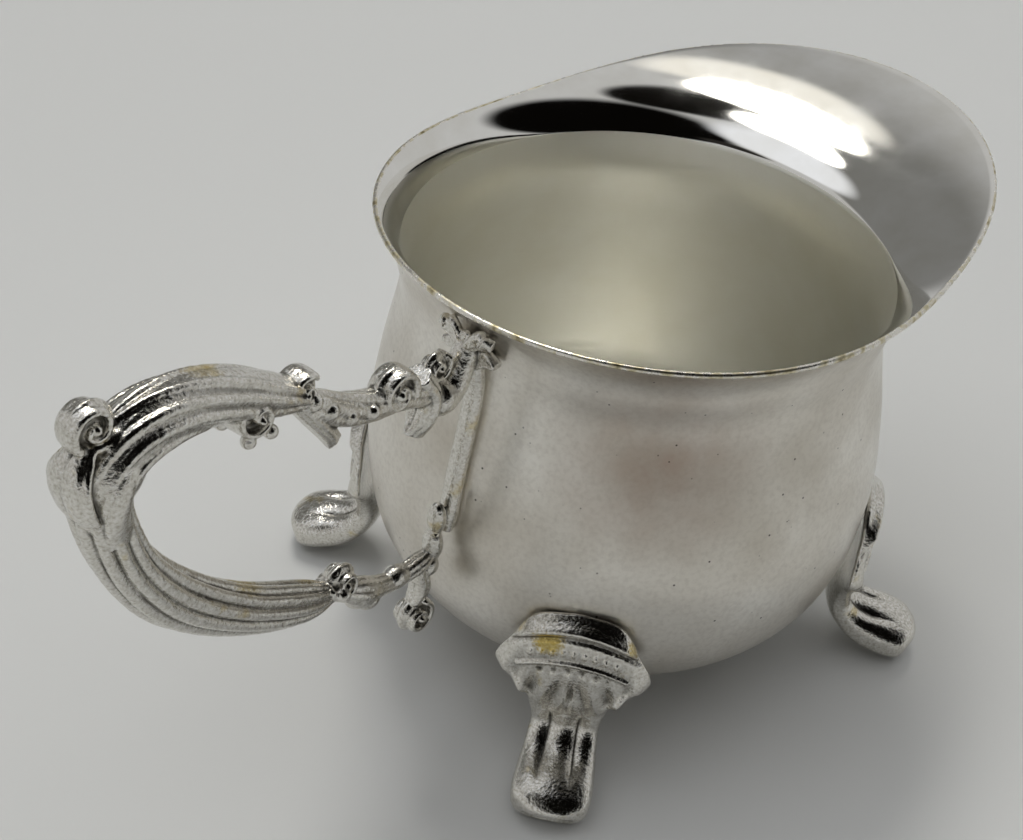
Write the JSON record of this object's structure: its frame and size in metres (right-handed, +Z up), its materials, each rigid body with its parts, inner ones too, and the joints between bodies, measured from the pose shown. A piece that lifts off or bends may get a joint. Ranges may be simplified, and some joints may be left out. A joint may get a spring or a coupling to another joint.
{
  "type": "footed cream jug",
  "caption": "Small silver-plated cream jug: pot-bellied bowl with a wide flared pouring lip, cast scroll handle and cast scroll feet.",
  "frame": {"origin": "middle of the footprint's bounding rectangle on the table the feet stand on", "axes": "+X towards the tip of the spout, -X towards the outer end of the handle, +Z up; the handle and the spout lie in the plane Y = 0, with the jug's turning axis parallel to Z at x = 12.7 mm"},
  "size_m": [0.1226, 0.0678, 0.067],
  "materials": {
    "spun_plate": "silver plate: hazy polished outside, mirror lip, frosted pale inside",
    "cast_plate": "bright silver plate on a casting, dark in the hollows, worn yellow on the high spots"
  },
  "bodies": {
    "root": {"body": "spun_plate", "handle": "cast_plate", "foot_1": "cast_plate", "foot_2": "cast_plate", "foot_3": "cast_plate", "foot_4": "cast_plate"}
  },
  "joints": []
}
